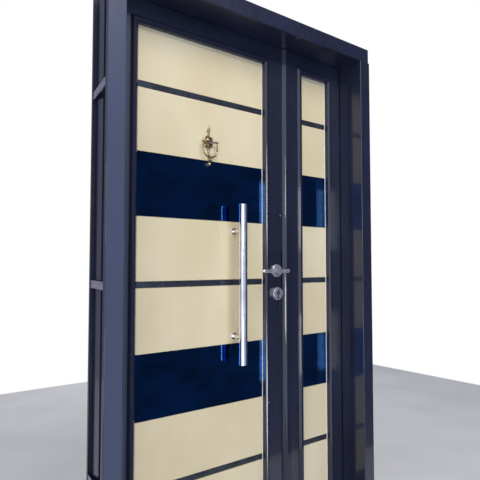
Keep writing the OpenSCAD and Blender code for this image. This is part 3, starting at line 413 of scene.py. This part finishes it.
def laminated_board():
    """Cream laminated board behind the glass, with a fine pearl texture."""
    material, tree, place = blank("cream_laminated_board")
    pearl = put(tree, "TexNoise", "Fac", {"Vector": place, "Scale": per_mm(2.2), "Detail": 2.0})
    clouds = put(tree, "TexNoise", "Fac", {"Vector": place, "Scale": per_mm(180), "Detail": 3.0})
    sheen = put(tree, "MapRange", "Result", {"Value": pearl, "From Min": MOST_LOW, "From Max": MOST_HIGH,
                                             "To Min": 0.38, "To Max": 0.5})
    pressed = put(tree, "Bump", "Normal", {"Height": pearl, "Distance": 0.05 * MM, "Strength": 0.4})
    share = put(tree, "MapRange", "Result", {"Value": clouds, "From Min": MOST_LOW, "From Max": MOST_HIGH})
    colour = put(tree, "Mix", 2, {"Factor": share, 6: srgb("D9CFAE"), 7: srgb("E2D9BA")}, data_type="RGBA")
    shader = put(tree, "BsdfPrincipled", "BSDF", {
        "Base Color": colour,
        "Roughness": sheen,
        "Normal": pressed})
    put(tree, "OutputMaterial", None, {"Surface": shader})
    return material


enamel = sprayed_enamel("navy_sprayed_enamel", "0E1428", "151B33")
bead_enamel = sprayed_enamel("navy_sprayed_enamel_mouldings", "10152A", "171C35", 0.2, 0.50)
# The frame's copy of the enamel is a touch lighter than the leaves': painted light on the frame.
painted_light_frame_enamel = sprayed_enamel("navy_enamel_frame_painted_lighter", "10152C", "171C38")
nickel = satin_nickel()
# A darker copy of the satin nickel on the lock cylinder: painted shade of its recess and keyway.
shaded_plug_nickel = satin_nickel("nickel_painted_shade", "6F6B74", "99959E")
brass = antique_brass()
steel = polished_steel()
lock_steel = plated_steel()
rubber = black_rubber()
cream = cream_glass()
band = mirror_glass()
strip = strip_glass()
sealant = pale_sealant()
board = laminated_board()
primer = grey_primer()

FINISHES = {
    "jamb_left": painted_light_frame_enamel, "jamb_right": painted_light_frame_enamel, "head": painted_light_frame_enamel,
    "sill": brushed_sill(), "anchor_straps": zinc_strip(), "frame_seal": rubber,
    "hinge_frame_plates": painted_light_frame_enamel, "hinge_pins": lock_steel,
    "main_outer_skin": enamel, "main_inner_skin": enamel, "main_core": primer,
    "main_outer_bead": bead_enamel, "main_inner_bead": bead_enamel, "main_glazing_seal": sealant,
    "main_backing": board, "main_cream_panels": cream, "main_mirror_bands": band,
    "main_divider_strips": strip, "main_hinge_plates": enamel,
    "pull_bar": steel, "pull_standoffs": steel, "pull_bolts": steel,
    "lock_case": lock_steel, "lock_forend": nickel, "forend_screws": nickel,
    "latch_bolt": nickel, "deadbolts": nickel, "lever_outside": nickel, "lever_inside": nickel,
    "spindle": lock_steel, "follower": lock_steel, "rose_outside": nickel, "rose_inside": nickel,
    "escutcheon_outside": nickel, "escutcheon_inside": nickel, "cylinder_body": shaded_plug_nickel,
    "cylinder_plug": shaded_plug_nickel, "thumb_turn": nickel, "knocker_plate": brass,
    "knocker_striker": brass, "knocker_bolts": brass, "viewer_barrel": turned_brass(),
    "viewer_lens": lens_glass(), "side_outer_skin": enamel, "side_inner_skin": enamel,
    "side_core": primer, "side_outer_bead": bead_enamel, "side_inner_bead": bead_enamel,
    "side_glazing_seal": sealant, "side_backing": board, "side_cream_panels": cream,
    "side_mirror_bands": band, "side_divider_strips": strip, "side_hinge_plates": enamel,
    "meeting_strip": bead_enamel, "meeting_seal": rubber, "strike_plate": nickel,
    "flush_bolt_guides": nickel, "top_flush_bolt": lock_steel, "bottom_flush_bolt": lock_steel}

for node, finish in FINISHES.items():
    for holder in NODES[node].material_slots:
        holder.material = finish

# Edges softened where sheet was folded or glass was ground: node and radius in mm
EDGES = {
    "sill": 0.8, "anchor_straps": 0.6,
    "main_outer_skin": 0.6, "main_inner_skin": 0.6, "side_outer_skin": 0.6, "side_inner_skin": 0.6,
    "main_outer_bead": 0.4, "side_outer_bead": 0.4, "main_inner_bead": 0.5, "side_inner_bead": 0.5,
    "meeting_strip": 0.3, "main_cream_panels": 0.4, "side_cream_panels": 0.4,
    "main_mirror_bands": 0.4, "side_mirror_bands": 0.4, "main_divider_strips": 0.4,
    "side_divider_strips": 0.4}

WELD_GAP = 0.01      # corners closer than this are one, in mm
EDGE_STEPS = 3
SHARP_FROM = 30      # degrees between faces, above which an edge is softened

for node, radius in EDGES.items():
    weld = NODES[node].modifiers.new("weld", "WELD")
    weld.merge_threshold = WELD_GAP * MM
    bevel = NODES[node].modifiers.new("soft_edges", "BEVEL")
    bevel.width = radius * MM
    bevel.segments = EDGE_STEPS
    bevel.limit_method = "ANGLE"
    bevel.angle_limit = math.radians(SHARP_FROM)
    bevel.harden_normals = True


# ---- mesh making ----

SAME_POINT = 0.005   # corners of a piece closer than this are one, in mm
CREASE_FROM = 38     # degrees between faces, above which a piece's edge stays crisp
THINNEST = 0.02      # smallest radius of a turned form, in mm


def piece(name, bm, body, slot, finish, *replaced):
    """Turns a bmesh into a smooth piece that rides on a body and stands for CAD nodes."""
    bmesh.ops.remove_doubles(bm, verts=bm.verts, dist=SAME_POINT * MM)
    bmesh.ops.recalc_face_normals(bm, faces=bm.faces)
    mesh = bpy.data.meshes.new(name)
    bm.to_mesh(mesh)
    bm.free()
    for face in mesh.polygons:
        face.use_smooth = True
    made = bpy.data.objects.new(name, mesh)
    bpy.context.scene.collection.objects.link(made)
    made.data.materials.append(finish)
    made.data.set_sharp_from_angle(angle=math.radians(CREASE_FROM))
    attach(made, body)
    if replaced:
        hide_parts(*replaced)


def skin_rings(bm, rings, closed_ends=True):
    """Joins rings of points, each as long as the next, into a tube."""
    made = [[bm.verts.new(p) for p in ring] for ring in rings]
    for one, two in zip(made, made[1:]):
        count = len(one)
        for i in range(count):
            j = (i + 1) % count
            bm.faces.new((one[i], one[j], two[j], two[i]))
    if closed_ends:
        bm.faces.new(made[0][::-1])
        bm.faces.new(made[-1])


def turned(bm, profile, origin, axis, steps=40):
    """Spins a profile of (radius, distance) round an axis through origin."""
    axis = Vector(axis).normalized()
    side = axis.orthogonal().normalized()
    other = axis.cross(side)
    rings = []
    for radius, along in profile:
        radius = max(radius, THINNEST) * MM
        middle = Vector(origin) + axis * along * MM
        turns = [2 * math.pi * i / steps for i in range(steps)]
        rings.append([middle + (side * math.cos(t) + other * math.sin(t)) * radius for t in turns])
    skin_rings(bm, rings)


def swept(bm, path, sizes, up=Vector((0, 0, 1)), steps=20):
    """An oval bar along a path; sizes are (half width, half height) in mm, height along up."""
    rings = []
    for i, point in enumerate(path):
        ahead = path[min(i + 1, len(path) - 1)] - path[max(i - 1, 0)]
        ahead.normalize()
        side = ahead.cross(up).normalized()
        rise = side.cross(ahead).normalized()
        wide, high = sizes[i]
        ring = []
        for k in range(steps):
            turn = 2 * math.pi * k / steps
            sideways = side * math.cos(turn) * wide * MM
            upwards = rise * math.sin(turn) * high * MM
            ring.append(point + sideways + upwards)
        rings.append(ring)
    skin_rings(bm, rings)


def ball_profile(radius, along, steps=14):
    """Half circle for turned()."""
    turns = [math.pi * i / steps for i in range(steps + 1)]
    return [(radius * math.sin(t), along - radius * math.cos(t)) for t in turns]


# ---- levers ----

GRIP_HIGH = 7.9      # half of the grip's height at its thick end, in mm
GRIP_WIDE = 7.2      # half of its width there, out from the door
GRIP_ROUND = 7.0     # length over which an end rounds off
GRIP_TAPER = 0.20    # share of its thickness that the grip loses towards its tip
GRIP_BOW = 1.6       # how far the middle bends back to the door
GRIP_SHORT = 0.2     # gap between an end and the CAD lever's box
GRIP_INSET = 0.8     # gap between its outer side and that box
GRIP_STEPS = 40
NECK_R = 7.9
GRUB_SCREW_OUT = 15  # the screw under the neck, out from the leaf
GRUB_SCREW = [(1.7, 5.4), (1.7, 6.5), (1.1, 6.9)]


def lever(name, node, face_y, outwards):
    """A cast lever: a waisted neck out of the rose and a tapering grip across it, its ends rounded."""
    low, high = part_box(node)
    far_y = low[1] if outwards < 0 else high[1]
    reach = abs(far_y - face_y) / MM - GRIP_WIDE - GRIP_INSET
    start, end = high[0] - GRIP_SHORT * MM, low[0] + GRIP_SHORT * MM
    bm = bmesh.new()
    path, sizes = [], []
    for i in range(GRIP_STEPS + 1):
        along = (1 - math.cos(math.pi * i / GRIP_STEPS)) / 2
        x = start + (end - start) * along
        from_end = min(x - end, start - x) / MM
        short = 1 - max(0.0, min(from_end / GRIP_ROUND, 1.0))
        scale = math.sqrt(1 - short ** 2) * (1 - GRIP_TAPER * along)
        bow = GRIP_BOW * math.sin(math.pi * along)
        path.append(Vector((x, face_y + outwards * (reach - bow) * MM, spindle.z)))
        sizes.append((GRIP_WIDE * scale + THINNEST, GRIP_HIGH * scale + THINNEST))
    swept(bm, path, sizes)
    neck = [(NECK_R, -2), (NECK_R, 9), (6.6, 14), (6.2, 22), (6.2, reach - 20), (6.8, reach - 10),
            (7.4, reach - 4), (6.0, reach)]
    turned(bm, neck, (spindle.x, face_y, spindle.z), (0, outwards, 0), 36)
    screw_place = (spindle.x, face_y + outwards * GRUB_SCREW_OUT * MM, spindle.z)
    turned(bm, GRUB_SCREW, screw_place, (0, 0, -1), 12)
    piece(name, bm, "lever", "nickel", nickel, node)


lever("cast_lever_outside", "lever_outside", leaf_out_y, -1)
lever("cast_lever_inside", "lever_inside", leaf_in_y, 1)


# ---- knocker ----

STRIKER_LOW, STRIKER_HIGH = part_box("knocker_striker")
PIVOT_OUT = (pane_y - (STRIKER_LOW[1] + STRIKER_HIGH[1]) / 2) / MM  # the pins' height over the glass
EYE_ROOM = 4.5                                                     # from an arm's middle to the box's side
ARM_X = (STRIKER_HIGH[0] - STRIKER_LOW[0]) / 2 / MM - EYE_ROOM      # middle of an arm, from the axis
OUT = (0, -1, 0)
UP = (0, 0, 1)
DOWN = (0, 0, -1)

# The plate's outline is an oval of this half width and half height
PLATE_HALF_X, PLATE_HALF_Z = 21.0, 24.5
# What stands out of it or goes in: height in mm, angle from the top and spread in radians
PLATE_BUMPS = {
    "crest": (3.0, 0, 0.20), "right_ear": (5.5, -0.72, 0.12), "left_ear": (5.5, 0.72, 0.12),
    "foot": (9.0, math.pi, 0.20), "shoulders": (-2.0, math.pi, 0.75)}
BOSS_R = 20.5        # further in, the plate's relief turns into a round boss drawn from this radius
BOSS_SHARE = 0.6     # share of the outline's radius where it is fully round
PLATE_STEPS = 112
# Share of the outline's radius, and distance out of the glass
PLATE_RELIEF = [(1.0, 0.0), (1.0, 2.0), (0.98, 3.4), (0.93, 4.6), (0.88, 5.2), (0.84, 5.0),
                (0.80, 6.4), (0.76, 8.6), (0.74, 9.6), (0.70, 10.2), (0.60, 10.2)]
# Turned forms on the plate, as radius and distance along the axis
PEEPHOLE_RING = [(14.6, 9.4), (14.8, 12.0), (14.2, 13.4), (13.0, 14.0), (11.8, 13.4), (11.2, 12.2),
                 (10.9, 13.2), (10.2, 14.8), (9.0, 15.4), (7.9, 15.0), (7.4, 14.0), (7.4, 8.0)]
FINIAL = [(2.0, 22), (2.2, 30), (3.6, 32), (3.6, 33.5), (1.8, 35), (1.6, 39),
          *ball_profile(5.4, 45)[1:-1],
          (2.0, 51), (2.8, 52.2), (2.0, 53.6), (1.5, 57), (0.4, 64)]
FINIAL_OUT = 5.4
STEM = [(3.6, 24), (3.2, 30), (2.2, 33), (3.4, 35), (3.4, 36.5), (1.6, 39), (1.4, 76)]
STEM_OUT = 4.2
STUD = [(7.0, 0), (7.0, 2), (5.4, 3.4), (4.4, 5), (4.4, 7), (5.8, 9), (6.4, 12), (5.6, 14.6),
        (3.6, 16), (1.2, 16.6)]
STUD_DROP = 81       # from the peephole's axis down to the striking stud
LUG = [(2.6, 15), (3.4, 17), (3.8, 20), (3.6, 22), (2.4, 24), (3.4, ARM_X - 6.0), (3.4, ARM_X - 4.9)]
PIN = [(1.45, ARM_X - 5), (1.45, ARM_X + 4.6), (0.6, ARM_X + 5.2)]
# Webs that carry the lugs: across and out, then half width and half height
WEB_PATH = [(14, 5), (17, 9), (20, PIVOT_OUT)]
WEB_SIZES = [(2.6, 4.0), (2.4, 3.6), (2.0, 3.0)]

# The stirrup: drops and radii down an arm, then its bow, eyes and striking drop
ARM_DROPS = [2, 8, 14, 20, 26]
ARM_RADII = [2.0, 1.9, 2.1, 2.4, 2.6]
BOW_THICKER = 0.7
BOW_STEPS = 24
EYE = [(1.6, -3.6), (3.0, -3.6), (4.0, -2.2), (4.4, 0), (4.0, 2.2), (3.0, 3.6), (1.6, 3.6),
       (1.6, -3.6)]
EYE_STEPS = 28
DROP = [(2.2, 48), (4.0, 51), (4.6, 54), (4.6, 59.5), (3.4, 61), *ball_profile(5.8, 66)[2:]]


def knock(x, out, z):
    """A point from the peephole's axis: across, out of the glass and up, in mm."""
    return Vector((viewer.x + x * MM, pane_y - out * MM, viewer.z + z * MM))


def urn_edge(turn):
    """Radius of the plate's outline: an urn with a crest, two ears and a pointed foot."""
    across, upright = PLATE_HALF_Z * math.cos(turn), PLATE_HALF_X * math.sin(turn)
    radius = PLATE_HALF_X * PLATE_HALF_Z / math.hypot(across, upright)
    from_top = turn - math.pi / 2
    for height, middle, spread in PLATE_BUMPS.values():
        radius += height * math.exp(-((from_top - middle) / spread) ** 2)
    return radius


def knocker_plate():
    """Cast back plate: urn-shaped relief, moulded ring, finial, stem, striking stud and pivot lugs."""
    bm = bmesh.new()
    rings = []
    for share, out in PLATE_RELIEF:
        ring = []
        for i in range(PLATE_STEPS):
            turn = 2 * math.pi * i / PLATE_STEPS
            shaped = max(0.0, (share - BOSS_SHARE) / (1 - BOSS_SHARE))
            radius = (BOSS_R + (urn_edge(turn) - BOSS_R) * shaped) * share
            ring.append(knock(radius * math.cos(turn), out, radius * math.sin(turn)))
        rings.append(ring)
    skin_rings(bm, rings)
    turned(bm, PEEPHOLE_RING, knock(0, 0, 0), OUT, 64)
    turned(bm, FINIAL, knock(0, FINIAL_OUT, 0), UP, 32)
    turned(bm, STEM, knock(0, STEM_OUT, 0), DOWN, 24)
    turned(bm, STUD, knock(0, 0, -STUD_DROP), OUT, 32)
    for side in (-1, 1):
        across = (side, 0, 0)
        turned(bm, LUG, knock(0, PIVOT_OUT, 0), across, 24)
        turned(bm, PIN, knock(0, PIVOT_OUT, 0), across, 16)
        swept(bm, [knock(side * x, out, 0) for x, out in WEB_PATH], WEB_SIZES)
    piece("knocker_cast_plate", bm, "main_leaf", "knocker_brass", brass, "knocker_plate")


def knocker_striker():
    """Swinging stirrup: two eyes, arms that thicken to the bow, a collar and a striking drop."""
    bm = bmesh.new()
    arm_end, arm_r = ARM_DROPS[-1], ARM_RADII[-1]
    path = [knock(-ARM_X, PIVOT_OUT, -z) for z in ARM_DROPS]
    radii = list(ARM_RADII)
    for i in range(1, BOW_STEPS):
        turn = math.pi * i / BOW_STEPS
        path.append(knock(-ARM_X * math.cos(turn), PIVOT_OUT, -arm_end - ARM_X * math.sin(turn)))
        radii.append(arm_r + BOW_THICKER * math.sin(turn) ** 2)
    path += [knock(ARM_X, PIVOT_OUT, -z) for z in reversed(ARM_DROPS)]
    radii += reversed(ARM_RADII)
    swept(bm, path, [(radius, radius) for radius in radii], up=Vector((0, 1, 0)))
    turns = [2 * math.pi * i / EYE_STEPS for i in range(EYE_STEPS)]
    for side in (-1, 1):
        rings = []
        for radius, along in EYE:
            x = side * ARM_X + along
            rings.append([knock(x, PIVOT_OUT - radius * math.cos(t), radius * math.sin(t))
                          for t in turns])
        skin_rings(bm, rings, closed_ends=False)
    turned(bm, DROP, knock(0, PIVOT_OUT, 0), DOWN, 32)
    piece("knocker_cast_stirrup", bm, "striker", "knocker_brass", brass, "knocker_striker")


knocker_plate()
knocker_striker()


# ---- small pale dabs on the paint: painted highlights ----

DAB_POINTS = 14
DAB_THICK = 0.12     # mm
DAB_TALLER = 1.3     # height over width
DAB_TOP = 0.8        # its top face, as a share of its foot
LEAF_DAB_UP = 221    # from the spindle up to the dab on the leaf's edge, in mm
BEAD_DAB_DOWN = 504  # from the spindle down to the dab on the bead


def painted_highlight_dab(name, x, y, z, radius):
    """A painted highlight on the wide leaf: a thin pale patch with an uneven edge, in the sealant's finish.
    """
    bm = bmesh.new()
    outer, inner = [], []
    for i in range(DAB_POINTS):
        turn = 2 * math.pi * i / DAB_POINTS
        # Two waves that don't close on themselves, so that no two sides are alike
        uneven = 1 + 0.22 * math.sin(2.3 * i) + 0.12 * math.cos(5.1 * i)
        reach = radius * uneven * MM
        flat = Vector((math.cos(turn) * reach, 0, math.sin(turn) * reach * DAB_TALLER))
        outer.append(Vector((x, y, z)) + flat)
        inner.append(Vector((x, y - DAB_THICK * MM, z)) + flat * DAB_TOP)
    skin_rings(bm, [outer, inner])
    piece(name, bm, "main_leaf", "seal_silicone", sealant)


leaf_edge_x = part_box("main_outer_skin")[1][0]
bead_crest_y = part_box("main_outer_bead")[0][1]
seal_edge_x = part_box("main_glazing_seal")[1][0]
# Both dabs are painted highlights: pale patches standing in for glints on the leaf's edge and on the bead.
painted_highlight_dab("painted_highlight_leaf", leaf_edge_x - 3 * MM, leaf_out_y, spindle.z + LEAF_DAB_UP * MM, 1.7)
painted_highlight_dab("painted_highlight_bead", seal_edge_x + 3 * MM, bead_crest_y, spindle.z - BEAD_DAB_DOWN * MM, 1.6)


# ---- studio ----

CAMERA_X, CAMERA_OUT, CAMERA_Z = -1.1554, 1.3501, 1.1144  # metres; OUT from the frame's face
CAMERA_YAW, CAMERA_PITCH = 37.574, 2.714                  # degrees to the right and up
CAMERA_LENS, CAMERA_SENSOR = 37.21, 36                    # millimetres

# Two parts of the world's light, by direction in degrees to the right of straight out of the door.
# Each begins START degrees away from its direction and is full FULL degrees away.
LEFT_SKY, LEFT_START, LEFT_FULL, LEFT_GLOW = -56, 38, 24, 1.15
DARK_SIDE, DARK_START, DARK_FULL, DARK_GLOW = 55, 75, 35, 0.13
BACK_GLOW = 0.34     # everywhere else

FLOOR_LEFT, FLOOR_RIGHT, FLOOR_FRONT, FLOOR_BACK = -3.4, 3.4, -0.7, 3.2  # metres
FLOOR_DROP = 0.5     # the floor lies this far under the sill, in mm

camera_data = bpy.data.cameras.new("camera")
camera_data.lens = CAMERA_LENS
camera_data.sensor_width = CAMERA_SENSOR
camera = bpy.data.objects.new("camera", camera_data)
camera.location = (CAMERA_X, front_y - CAMERA_OUT, CAMERA_Z)
camera.rotation_euler = (math.radians(90 + CAMERA_PITCH), 0, -math.radians(CAMERA_YAW))
bpy.context.scene.collection.objects.link(camera)
bpy.context.scene.camera = camera


def floor():
    """A plain pale floor."""
    mesh = bpy.data.meshes.new("floor")
    corners = [(FLOOR_LEFT, FLOOR_FRONT), (FLOOR_RIGHT, FLOOR_FRONT),
               (FLOOR_RIGHT, FLOOR_BACK), (FLOOR_LEFT, FLOOR_BACK)]
    mesh.from_pydata([(x, y, -FLOOR_DROP * MM) for x, y in corners], [], [(0, 1, 2, 3)])
    made = bpy.data.objects.new("floor", mesh)
    bpy.context.scene.collection.objects.link(made)
    material, tree, place = blank("pale_floor")
    clouds = put(tree, "TexNoise", "Fac", {"Vector": place, "Scale": per_mm(600), "Detail": 3.0})
    share = put(tree, "MapRange", "Result", {"Value": clouds, "From Min": MOST_LOW, "From Max": MOST_HIGH})
    colour = put(tree, "Mix", 2, {"Factor": share, 6: srgb("D9D8D6"), 7: srgb("E2E1DF")}, data_type="RGBA")
    shader = put(tree, "BsdfPrincipled", "BSDF", {
        "Base Color": colour, "Roughness": 0.8})
    put(tree, "OutputMaterial", None, {"Surface": shader})
    made.data.materials.append(material)


def soft_light(name, place, aim, width, height, power, tint="FFFFFF"):
    """A soft box at place, turned to aim: places and sizes in metres, power in watts."""
    data = bpy.data.lights.new(name, "AREA")
    data.shape = "RECTANGLE"
    data.size, data.size_y = width, height
    data.energy = power
    data.color = srgb(tint)[:3]
    made = bpy.data.objects.new(name, data)
    made.location = place
    made.rotation_euler = (Vector(aim) - Vector(place)).to_track_quat("-Z", "Y").to_euler()
    bpy.context.scene.collection.objects.link(made)


def studio_world():
    """White to the eye; as a light, bright on the left, pale behind and dim towards the front right."""
    world = bpy.data.worlds.new("studio")
    world.use_nodes = True
    tree = world.node_tree
    tree.nodes.clear()
    way = put(tree, "TexCoord", "Generated")
    flat = put(tree, "VectorMath", "Vector", {0: way, 1: (1.0, 1.0, 0.0)}, operation="MULTIPLY")
    level = put(tree, "VectorMath", "Vector", {0: flat}, operation="NORMALIZE")

    def towards(azimuth, start, end, low, high):
        """A number that rises from low to high as the way turns towards an azimuth from straight out."""
        turn = math.radians(azimuth)
        aim = put(tree, "VectorMath", "Value", {0: level, 1: (math.sin(turn), -math.cos(turn), 0.0)},
                  operation="DOT_PRODUCT")
        return put(tree, "MapRange", "Result", {
            "Value": aim, "From Min": math.cos(math.radians(start)),
            "From Max": math.cos(math.radians(end)), "To Min": low, "To Max": high},
            interpolation_type="SMOOTHSTEP")

    left = towards(LEFT_SKY, LEFT_START, LEFT_FULL, 0.0, LEFT_GLOW)
    dim = towards(DARK_SIDE, DARK_START, DARK_FULL, BACK_GLOW, DARK_GLOW)
    total = put(tree, "Math", "Value", {0: left, 1: dim}, operation="ADD")
    tint = put(tree, "Mix", 2, {"Factor": left, 6: srgb("D4DAF2"), 7: srgb("E6ECFA")}, data_type="RGBA")
    shade = put(tree, "Background", "Background", {"Color": tint, "Strength": total})
    white = put(tree, "Background", "Background", {"Color": srgb("FFFFFF"), "Strength": 1.0})
    eye = put(tree, "LightPath", "Is Camera Ray")
    mix = put(tree, "MixShader", "Shader", {"Fac": eye, 1: shade, 2: white})
    put(tree, "OutputWorld", None, {"Surface": mix})
    bpy.context.scene.world = world


floor()
# Two narrow boxes behind the viewer: the mirror bands and the bead beside them send them back as bright
# blue strips. They stand square to the door, so that the bead's slanted faces miss them.
soft_light("upper_strip_box", (-1.935, -2.31, 1.60), (-1.935, 0, 1.60), 0.27, 0.66, 11, "FFFCF8")
soft_light("lower_strip_box", (-1.935, -2.31, 0.26), (-1.935, 0, 0.26), 0.27, 0.62, 10, "FFFCF8")
# A tall bluish box in front: the sky that the left jamb's face shows
soft_light("sky_soft_box", (0.7, -3.8, 1.9), (-0.3, 0, 1.9), 1.05, 6.4, 46, "B8CBFF")
# Warm light from above on the outside, and light on the inside
soft_light("top_soft_box", (-0.6, -2.6, 4.2), (0, 0, 1.0), 2.6, 1.6, 98, "FFFAF2")
soft_light("inside_soft_box", (1.5, 3.8, 2.6), (0, 0, 1.0), 2.4, 2.0, 42)
studio_world()
bpy.context.scene.view_settings.view_transform = "Standard"
